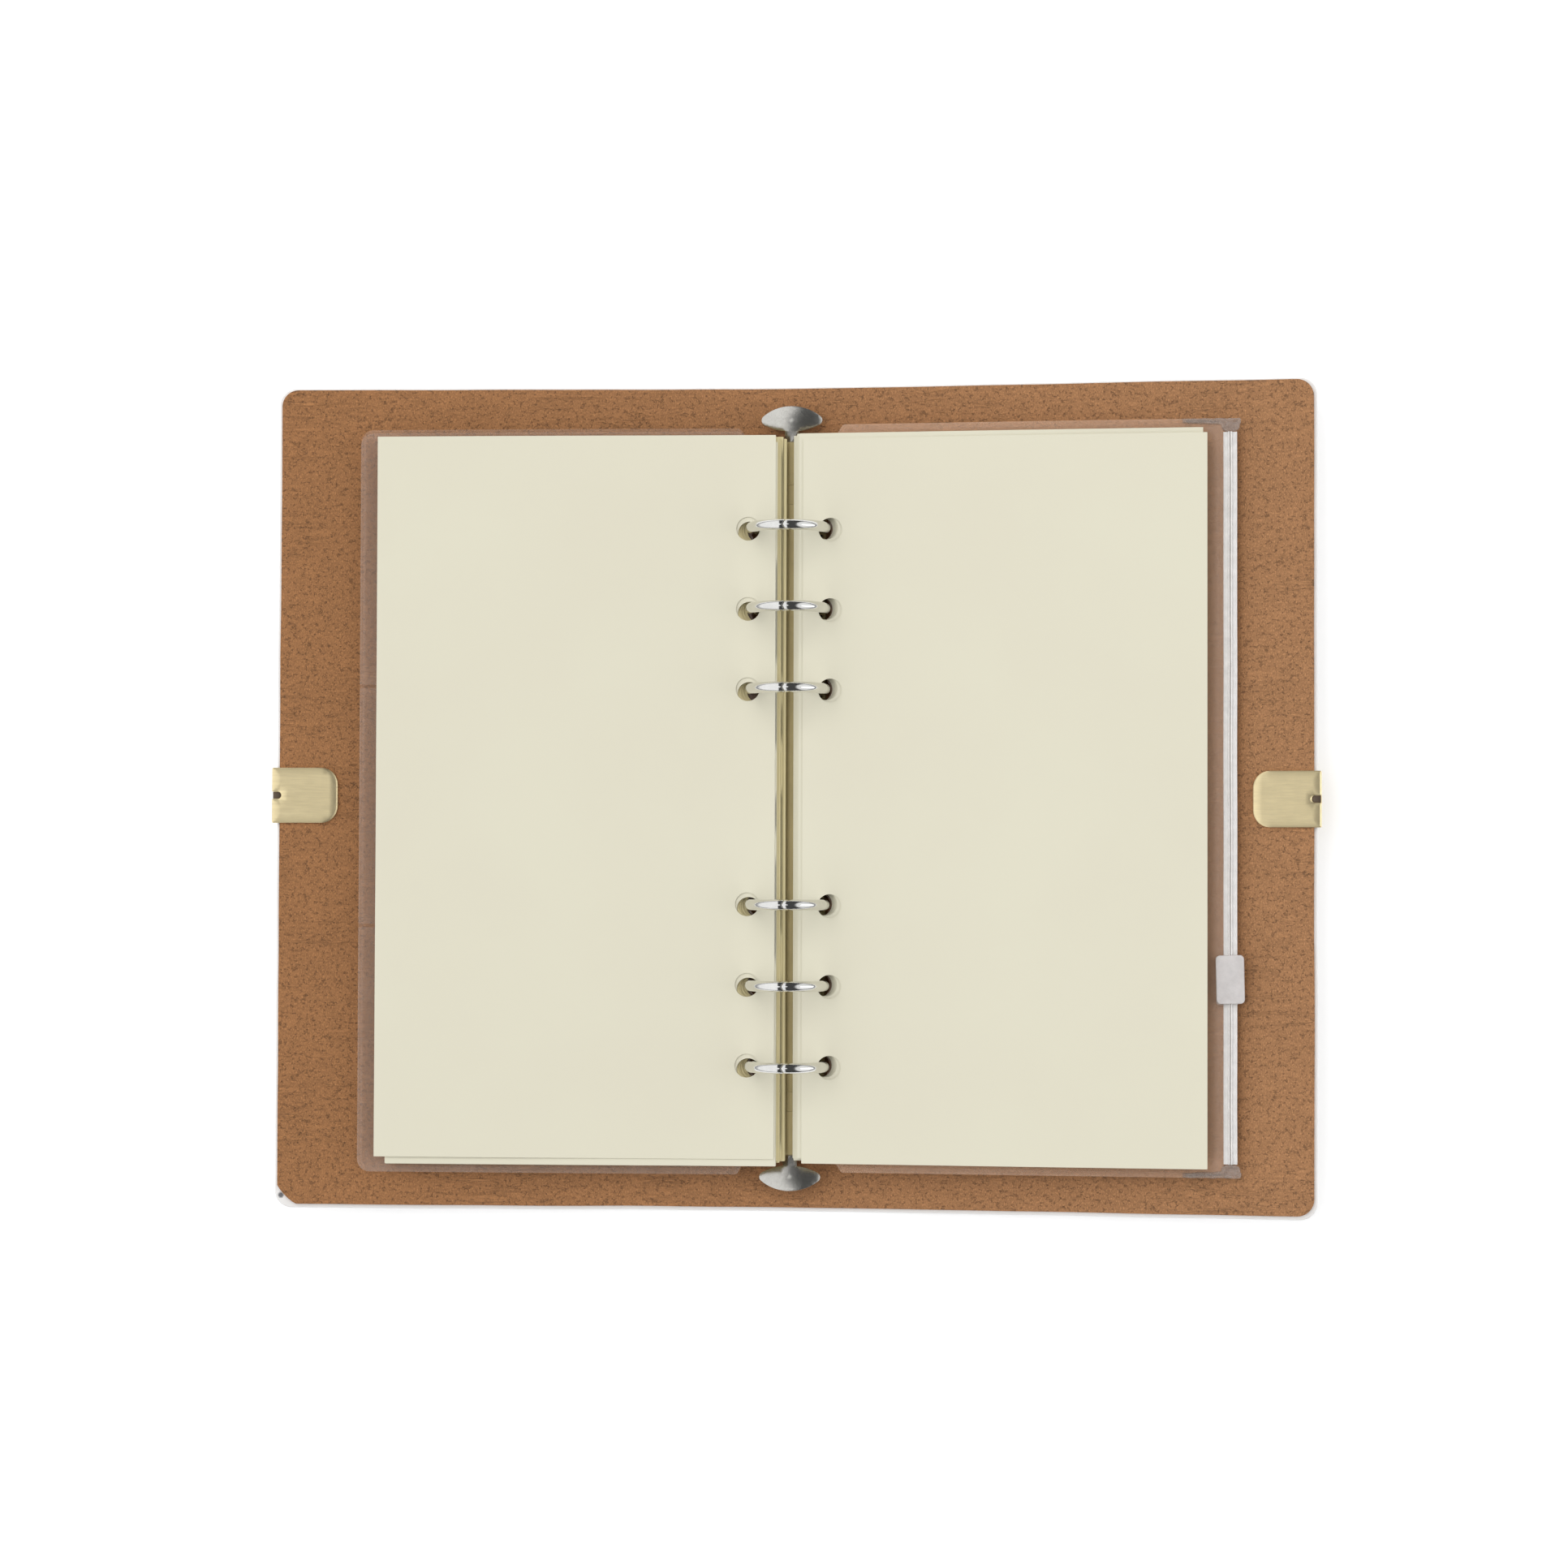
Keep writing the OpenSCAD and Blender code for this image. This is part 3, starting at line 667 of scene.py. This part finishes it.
cover_sheet("left_cover_skin", left_cover, "front_skin", "spine_skin", skin)
cover_sheet("right_cover_skin", right_cover, "back_skin", "spine_skin", skin)
cover_sheet("left_cover_lining", left_cover, "front_lining", "spine_lining",
            lining, clipped=(CLIPPED_CORNER, 1.25))
cover_sheet("right_cover_lining", right_cover, "back_lining", "spine_lining",
            lining)


def clasp(side, place):
    """A clasp half: a notched front plate with a chamfered rim, a back plate and the fold between them."""
    node = f"{side}_clasp"
    (u0, v0, w0), (u1, v1, w1) = place.box(node)
    inner_top, inner_low = place.box(f"{side}_lining")[1][2], place.box(f"{side}_skin")[0][2]
    mid, half, sharp = (v0 + v1) / 2, NOTCH_W / 2, CLASP_SHARP
    notch = [(u1, mid - half, 0.15), (u1 - NOTCH_L, mid - half, half - 0.02),
             (u1 - NOTCH_L, mid + half, half - 0.02), (u1, mid + half, 0.15)]
    start, end = [(u0, v0, CLASP_CORNER), (u1, v0, sharp)], [(u1, v1, sharp), (u0, v1, CLASP_CORNER)]
    front = outline(start + notch + end, 1.0, 12)
    chamfer = [(inset, w1 - deep) for inset, deep in CLASP_CHAMFER] + [(0, inner_top + 0.1), (0.1, inner_top)]
    parts = [slab(f"{node}_front", front, [], chamfer, place.at, 1.6, rim=(0, 2))]
    chamfer = [(0.1, inner_low), (0, inner_low - 0.1)]
    chamfer += [(inset, w0 + deep) for inset, deep in reversed(CLASP_CHAMFER)]
    parts.append(slab(f"{node}_back", outline(start + end, 1.0, 12), [], chamfer, place.at, 1.6, rim=(2, 4)))
    inside_u = u1 - (w1 - inner_top)
    for k, (a, b) in enumerate(((v0, mid - half), (mid + half, v1))):
        fold = outline([(inside_u, a, 0.1), (u1, a, sharp), (u1, b, sharp), (inside_u, b, 0.1)], 1.0)
        parts.append(slab(f"{node}_fold_{k + 1}", fold, [], [(0, inner_top), (0, inner_low)], place.at, 1.0))
    # Rim bands take the polished brass with its painted highlight.
    for obj in parts:
        piece(obj, f"{side}_cover", "clasp_brass", [node], brass, polished_rim_painted_highlight)
    # The web at the bottom of the notch wears the painted-shade brass.
    deep_u, open_u = u1 - NOTCH_L + WEB_GAP, u1 - 0.15
    low_v, high_v = mid - half + WEB_GAP, mid + half - WEB_GAP
    web = outline([(deep_u, low_v, half - 0.1), (open_u, low_v, 0.05), (open_u, high_v, 0.05),
                   (deep_u, high_v, half - 0.1)], 1.0)
    web = slab(f"{node}_web", web, [], soft_edge(inner_top + 0.25, inner_top + 0.02, 0.05), place.at, 1.0)
    piece(web, f"{side}_cover", "clasp_brass", [node], painted_shade_brass)


for side, place in (("front", left_cover), ("back", right_cover)):
    clasp(side, place)
    dress(frame["nodes"][f"{side}_clasp_magnet"], magnet_steel)


# ---- mechanism --------------------------------------------------------------

def half_ring(name, node, side):
    """A half ring: round wire swept along its arc and its leg, with an interlocking split at the top."""
    lo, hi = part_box(node)
    y = (lo.y + hi.y) / 2 / MM
    wire = (hi.y - lo.y) / 2 / MM
    outer = max(abs(lo.x), abs(hi.x)) / MM
    r, zc = outer - wire, left_stack.z0
    n_arc, n_round, chevron = 46, 28, 0.32
    leg_angle = math.radians(-45)
    foot_z = lo.z / MM + wire * math.cos(leg_angle)
    leg_top = zc + r * math.sin(leg_angle)
    leg = (leg_top - foot_z) / math.sin(math.radians(45))
    path = []
    for k in range(n_arc + 1):
        a = math.radians(90) + (leg_angle - math.radians(90)) * k / n_arc
        path.append((r * math.cos(a), zc + r * math.sin(a), a))
    for k in range(1, 6):
        d = leg * k / 5
        path.append((r * math.cos(leg_angle) - d * math.sin(math.radians(45)),
                     zc + r * math.sin(leg_angle) - d * math.cos(math.radians(45)), leg_angle))
    rings = [(path[0], wire - 0.16, 0.03), (path[0], wire - 0.05, 0.08), (path[0], wire, 0.20)]
    rings += [(p, wire, 0.0) for p in path[3:]]
    rings.append((path[-1], wire - 0.2, 0.0))
    verts, faces = [], []

    def place(x, yy, z):
        return Vector((side * x, y + yy, z))

    for n, ((x, z, a), rad, push) in enumerate(rings):
        fade = max(0.0, 1 - n / 8)
        for k in range(n_round):
            t = 2 * math.pi * k / n_round
            dy, dn = rad * math.sin(t), rad * math.cos(t)
            wedge = (1 - 2 * abs(dy) / wire) * chevron * (-side) * (1 if n < 3 else fade * 0.6)
            ahead = push + wedge + (0.03 if n < 3 else 0)
            tx, tz = math.sin(a), -math.cos(a)
            verts.append(place(x + dn * math.cos(a) + ahead * tx, dy, z + dn * math.sin(a) + ahead * tz))
    for n in range(len(rings) - 1):
        for k in range(n_round):
            j = (k + 1) % n_round
            faces.append([n * n_round + k, n * n_round + j, (n + 1) * n_round + j, (n + 1) * n_round + k])
    x, z, a = rings[0][0]
    verts.append(place(x + (0.06 - side * chevron) * math.sin(a), 0, z))
    verts.append(place(path[-1][0], 0, path[-1][1]))
    last = (len(rings) - 1) * n_round
    for k in range(n_round):
        j = (k + 1) % n_round
        faces.append([len(verts) - 2, j, k])
        faces.append([len(verts) - 1, last + k, last + j])
    return finish_mesh(name, verts, faces, sharp=40)


for i in range(1, 7):
    for side, s in (("left", -1), ("right", 1)):
        node = f"{side}_ring_{i}"
        piece(half_ring(f"{side}_half_ring_{i}", node, s), f"{side}_rings", "ring_nickel", [node], chrome)

piece(bevelled("housing_arch", "ring_housing", 0.14, 2, 40), "spine", "housing_nickel", ["ring_housing"],
      nickel)
for end in ("top", "bottom"):
    piece(bevelled(f"{end}_lever_paddle", f"{end}_lever", 0.22, 3, 38), f"{end}_lever", "lever_nickel",
          [f"{end}_lever"], satin_nickel)
for node, material in (("mounting_rivets", nickel), ("lever_pins", pin_steel),
                       ("left_blade", blade_steel), ("right_blade", blade_steel)):
    dress(frame["nodes"][node], material)


# ---- leaves -----------------------------------------------------------------

def leaf_outline(u0, u1, v0, v1):
    return outline([(u0, v0, 0.12), (u1, v0, 0.12), (u1, v1, 0.12), (u0, v1, 0.12)], 5.0, 2)


def stack_place(place, curl=0.0, turn=0.0, shift=(0.0, 0.0), seed=0.0, relief=0.0):
    """Places a sheet on a stack: all sheets share one slow bow, and each has its own slight turn and curl."""
    ct, st = math.cos(turn), math.sin(turn)

    def at(u, v, w):
        u, v = shift[0] + u * ct - v * st, shift[1] + u * st + v * ct
        out = smooth((u - HELD) / 40)
        bow = 0.30 * math.sin(math.pi * min(max((u - HELD) / 84, 0), 1))
        w += out * (bow + 0.16 * wave(u, v, 0.016, place.side))
        w += curl * smooth((u - 20) / 75) * (0.55 + 0.45 * (v / 85) ** 2)
        w += relief * out * wave(u, v, 0.03, seed)
        return place.at(u, v, w)
    return at


def leaf(name, place, box, top, shift=(0.0, 0.0), turn=0.0, curl=0.0, relief=0.0, seed=0.0):
    (u0, v0, _), (u1, v1, _) = box
    dy = (v0 + v1) / 2
    holes = [circle(u0 + HOLE_EDGE, y + 0.4 * dy, HOLE_R) for y in RING_YS]
    return slab(name, leaf_outline(u0, u1, v0, v1), holes, [(0, top), (0, top - SHEET_T)],
                stack_place(place, curl, turn, shift, seed, relief), 6.5, key=(place.side, u0, dy))


for side, place in (("left", left_stack), ("right", right_stack)):
    body = f"{side}_leaves"
    for block in range(1, 6):
        node = f"{side}_leaves_{block}"
        box = place.box(node)
        pitch = (box[1][2] - box[0][2]) / SHEETS
        if side == "left":
            box[1][0] -= NARROWER
        slip = LOWER if node == "left_leaves_1" else 0
        for k in range(SHEETS):
            shift = (random.uniform(-0.10, 0.06), random.uniform(-0.10, 0.10) - slip)
            turn = math.radians(random.uniform(-0.06, 0.06))
            top = box[1][2] - k * pitch
            # Left sheets below the first block wear the painted-shade paper.
            piece(leaf(f"{side}_leaf_{block}_{k + 1}", place, box, top, shift, turn), body, "paper", [node],
                  leaf_paper if block == 1 or side == "right" else painted_shade_paper)

for name, place, node, body, seed in (
        ("left_top_sheet", left_stack, "left_top_leaf", "left_leaves", 4.0),
        ("turning_sheet", right_stack, "turning_leaf", "turning_leaf", 6.0)):
    box = place.box(node)
    piece(leaf(name, place, box, box[1][2] - 0.06, curl=0.35, relief=0.10, seed=seed), body, "paper", [node],
          leaf_paper)


# ---- card sheet and zip pouch -----------------------------------------------

def film_profile(top, low, bead=0.10):
    """Edge of a welded film: a rounded bead inside a thin flange."""
    return [(WELD_W, top), (0.86 * WELD_W, top + bead), (0.66 * WELD_W, top + 0.6 * bead),
            (0.45 * WELD_W, top - 0.02), (0.3 * WELD_W, top + 0.7 * bead), (0.12 * WELD_W, top + 0.4 * bead),
            (0, top - 0.1), (0, low + 0.05), (0.1, low)]


def film_outline(u0, u1, v0, v1, inner_v, corner):
    """A film whose punched margin stops short of its full height, with a short ramp between them."""
    m = u0 + FILM_MARGIN
    lower, upper = max(v0, -inner_v), min(v1, inner_v)
    pts = [(u0, lower, 0.6)]
    if lower > v0:
        pts += [(m - 1, lower, 0.8), (m + 1, v0, 0.8)]
    pts += [(u1, v0, corner[0]), (u1, v1, corner[1])]
    if upper < v1:
        pts += [(m + 1, v1, 0.8), (m - 1, upper, 0.8)]
    return outline(pts + [(u0, upper, 0.6)], 4.0, 6)


def film_piece(name, place, node, body, slot, corner=(3.0, 3.0), bead=0.10, thin=0.16, upper=False):
    lo, hi = place.box(node)
    page_lo, page_hi = place.box(f"{body}_3")
    margin = (page_hi[1] - page_lo[1]) / 2
    low = hi[2] - FILM_GAP - thin if upper else lo[2] + 0.5 * FILM_GAP
    top = low + thin
    holes = [circle(lo[0] + 5.0, y, FILM_HOLE_R) for y in RING_YS if lo[1] + 4 < y < hi[1] - 4]
    obj = slab(name, film_outline(lo[0], hi[0], lo[1], hi[1], margin, corner), holes,
               film_profile(top, low, bead), stack_place(place, seed=1.0), 6.0, rim=(0, 8))
    # The pouch's films wear the painted-light vinyl; weld bands wear the weld film with its painted
    # highlight.
    return piece(obj, body, slot, [node], pouch_vinyl_painted_light if place is right_stack else film, weld_film_painted_highlight)


film_piece("card_back_film", left_stack, "card_sheet", "left_leaves", "card_film", upper=True)
for part, corner in (("top", (0.3, 3.0)), ("middle", (0.3, 0.3)), ("bottom", (3.0, 0.3))):
    film_piece(f"card_pocket_film_{part}", left_stack, f"card_pocket_{part}", "left_leaves", "card_film",
               corner)
film_piece("pouch_back_film", right_stack, "pouch_back", "right_leaves", "pouch_film", (0.5, 0.5), upper=True)
film_piece("pouch_front_film", right_stack, "pouch_front", "right_leaves", "pouch_film", (0.5, 0.5))


def bulge(u, centre, half, height):
    d = abs(u - centre) / half
    return height * math.sqrt(max(0.0, 1 - d ** 2.6)) if d < 1 else 0.0


def zip_rail(name, node, up):
    """One press-together half of the zip: a lip along each side, clear web and a double-ridged rail."""
    lo, hi = right_stack.box(node)
    wide, tall = hi[0] - lo[0], hi[2] - lo[2]
    mid = lo[2] if up > 0 else hi[2]
    base, lip, rail = 0.22, 0.045, (0.33, 0.67)
    n_u, n_v = 60, 70
    verts, flats, faces, slots = [], [], [], []
    at = stack_place(right_stack)
    for j in range(n_v + 1):
        v = lo[1] + (hi[1] - lo[1]) * j / n_v
        sway = 0.06 * wave(0, v, 0.05, 2.0)
        row = []
        for i in range(n_u + 1):
            t = i / n_u
            h = base + bulge(t, lip, lip, 0.42) + bulge(t, 1 - lip, lip, 0.48)
            h += bulge(t, 0.41, 0.08, tall - base) + bulge(t, 0.59, 0.08, tall - base)
            if rail[0] + 0.05 < t < rail[1] - 0.05:
                h = max(h, base + 0.25 * (tall - base))
            row.append((lo[0] + wide * t + sway, v, mid + up * min(h, tall)))
        for t in (1, 0):
            row.append((lo[0] + wide * t + sway, v, mid + up * 0.02))
        for u, vv, w in row:
            verts.append(at(u, vv, w))
            flats.append((u, vv))
    row = n_u + 3
    for j in range(n_v):
        for i in range(row):
            a, b = j * row + i, j * row + (i + 1) % row
            faces.append([a, b, b + row, a + row])
            t = (i + 0.5) / n_u
            # Slot 1, the web between lips and rail and the underside, wears the painted-shade web film.
            slots.append(1 if 2 * lip < t < rail[0] or rail[1] < t < 1 - 2 * lip or i == n_u + 1 else 0)
    faces.append(list(range(row))[::-1])
    faces.append([n_v * row + i for i in range(row)])
    track = finish_mesh(name, verts, faces, flats, slots + [0, 0], sharp=60)
    return piece(track, "right_leaves", "zip_plastic", [node], zip_plastic, painted_shade_web_film)


zip_rail("zip_track_front", "zip_rail_front", 1)
zip_rail("zip_track_back", "zip_rail_back", -1)


def crushed_end(name, sign):
    """The zip's melted end: a clear lump round the end of the track, with a bead along the pouch's edge."""
    lo, hi = right_stack.box("zip_end_welds")
    end, mid, half = hi[1] if sign > 0 else lo[1], (lo[0] + hi[0]) / 2 - 0.1, END_HALF
    tail_u, side_u = lo[0] - END_TAIL, hi[0] + 0.5
    shape = [(tail_u, 0, 0.3), (side_u, 0, 0.5), (side_u, 1.2, 0.4), (mid + half, 1.5, 0.3),
             (mid + half, END_L, 1.2), (mid - half, END_L, 1.2), (mid - half, 1.5, 0.3), (tail_u, 1.1, 0.3)]
    shape = [(u, end - sign * v, r) for u, v, r in shape][::-sign]
    top, low = hi[2] + 0.05, lo[2] + 0.1
    bead = [(1.0, top - 0.42), (0.72, top - 0.3), (0.50, top), (0.2, top - 0.04), (0, top - 0.35),
            (0, low + 0.2), (0.2, low)]

    def place(u, v, w):
        u += 0.16 * wave(u, v, 0.5, 3.0 + sign)
        v += 0.14 * wave(u, v, 0.6, 7.0 + sign)
        w += 0.30 * wave(u, v, 0.55, 1.0 + sign) + 0.16 * wave(u, v, 1.3, 5.0)
        return stack_place(right_stack)(u, v, w)

    # The lump's rim bands wear the white zip plastic as a painted highlight round the clear lump.
    lump = slab(name, outline(shape, 0.5, 8), [], bead, place, 0.45, rim=(1, 4), sharp=70)
    return piece(lump, "right_leaves", "zip_plastic", ["zip_end_welds"], zip_weld, zip_plastic)


crushed_end("zip_end_top", 1)
crushed_end("zip_end_bottom", -1)

slider_lo, slider_hi = right_stack.box("zip_slider")
slider_mid = [(a + b) / 2 for a, b in zip(slider_lo, slider_hi)]


def skewed(p):
    """A slight turn of the slider on its track."""
    centre = right_stack.at(*slider_mid)
    x, y = p.x - centre.x, p.y - centre.y
    c, s = math.cos(SLIDER_TURN), math.sin(SLIDER_TURN)
    return Vector((centre.x + x * c - y * s, centre.y + x * s + y * c, p.z))


def slider_lip():
    """The slider's back plate, set a little down and inwards from its front."""
    (u0, v0, w0), (u1, _, _) = slider_lo, slider_hi
    corners = [(u0 - 0.1, v0 - 0.35, 0.8), (u1 - 1.3, v0 - 0.35, 0.8),
               (u1 - 1.3, v0 + 4, 0.8), (u0 - 0.1, v0 + 4, 0.8)]
    return slab("zip_slider_lip", outline(corners, 1.0), [], soft_edge(w0 + 1.05, w0 + 0.1, 0.3),
                right_stack.at, 1.0)


# The slider's rounded edges take the painted-highlight plastic.
piece(bevelled("zip_slider_clip", "zip_slider", 0.42, 4, 60, rim=True, reshape=skewed), "zip_slider",
      "slider_plastic", ["zip_slider"], slider_plastic, slider_painted_highlight)
# The lip is all painted-highlight plastic, showing as a bright line below the front.
piece(slider_lip(), "zip_slider", "slider_plastic", ["zip_slider"], slider_painted_highlight)


# ---- floor, light, camera ---------------------------------------------------

def studio_floor():
    look = Look("studio_white", False)
    cloud = look.band(look.noise(0.01, 2), 0.3, 0.7)
    look.set("Base Color", look.mix(cloud, (0.83, 0.83, 0.83), (0.84, 0.84, 0.84)))
    look.set("Emission Color", (1.0, 1.0, 1.0))
    look.set("Emission Strength", 0.30)
    look.set("Roughness", 0.9)
    look.set("Specular IOR Level", 0.1)
    mesh = bpy.data.meshes.new("studio_floor")
    half, back = 3.0, -0.0002
    mesh.from_pydata([(-half, -half, back), (half, -half, back), (half, half, back), (-half, half, back)], [],
                     [(0, 1, 2, 3)])
    obj = bpy.data.objects.new("studio_floor", mesh)
    bpy.context.scene.collection.objects.link(obj)
    dress(obj, look.material)


def softbox(name, location, target, size, power, color, mirrored):
    data = bpy.data.lights.new(name, "AREA")
    data.shape, data.size, data.size_y = "RECTANGLE", size[0], size[1]
    data.energy, data.color = power, color
    obj = bpy.data.objects.new(name, data)
    bpy.context.scene.collection.objects.link(obj)
    obj.visible_glossy = mirrored
    obj.location = location
    obj.rotation_euler = (Vector(target) - Vector(location)).to_track_quat("-Z", "Y").to_euler()


def studio_world():
    """A bright room with a dark strip overhead, right of the spine, set further left towards both ends."""
    world = bpy.data.worlds.new("studio_world")
    world.use_nodes = True
    tree = world.node_tree
    back = next(n for n in tree.nodes if n.type == "BACKGROUND")
    split = tree.nodes.new("ShaderNodeSeparateXYZ")
    tree.links.new(tree.nodes.new("ShaderNodeTexCoord").outputs["Generated"], split.inputs[0])

    def level(value, start, end, first, last):
        ramp = tree.nodes.new("ShaderNodeMapRange")
        for key, number in (("From Min", start), ("From Max", end), ("To Min", first), ("To Max", last)):
            ramp.inputs[key].default_value = number
        tree.links.new(value, ramp.inputs["Value"])
        return ramp.outputs[0]

    def combine(operation, a, b=None):
        n = tree.nodes.new("ShaderNodeMath")
        n.operation = operation
        for i, value in enumerate((a, b)):
            if value is not None:
                tree.links.new(value, n.inputs[i])
        return n.outputs[0]

    across, off_middle = split.outputs["X"], combine("ABSOLUTE", split.outputs["Y"])
    shifted = combine("ADD", across, level(off_middle, 0.12, 0.22, 0.0, 0.17))
    strength = combine("ADD", level(shifted, -0.01, 0.04, 1.10, 0.07), level(across, 0.44, 0.54, 0.0, 0.90))
    strength = combine("MULTIPLY", strength, level(split.outputs["Z"], 0.04, 0.26, 0.25, 1.0))
    tree.links.new(strength, back.inputs["Strength"])
    back.inputs["Color"].default_value = (0.97, 0.98, 1.0, 1)
    bpy.context.scene.world = world


def studio():
    studio_floor()
    studio_world()
    softbox("key_light", (-0.10, 0.75, 2.1), (0, 0, 0), (2.4, 2.0), 24.5, (1.0, 0.99, 0.97), False)
    softbox("fill_light", (1.5, -0.1, 0.75), (0, 0, 0), (0.7, 1.2), 3, (0.98, 0.99, 1.0), True)
    bpy.context.scene.view_settings.view_transform = "Standard"


def camera():
    """Almost straight above the page, a little right of the spine."""
    data = bpy.data.cameras.new("camera")
    data.lens, data.sensor_width, data.clip_start = 85.8, 36.0, 0.01
    obj = bpy.data.objects.new("camera", data)
    bpy.context.scene.collection.objects.link(obj)
    obj.location = (0.0947, -0.0214, 0.8872)
    obj.rotation_euler = (0.0281, 0.1088, 0.0031)
    bpy.context.scene.camera = obj


studio()
camera()

bpy.context.view_layer.update()
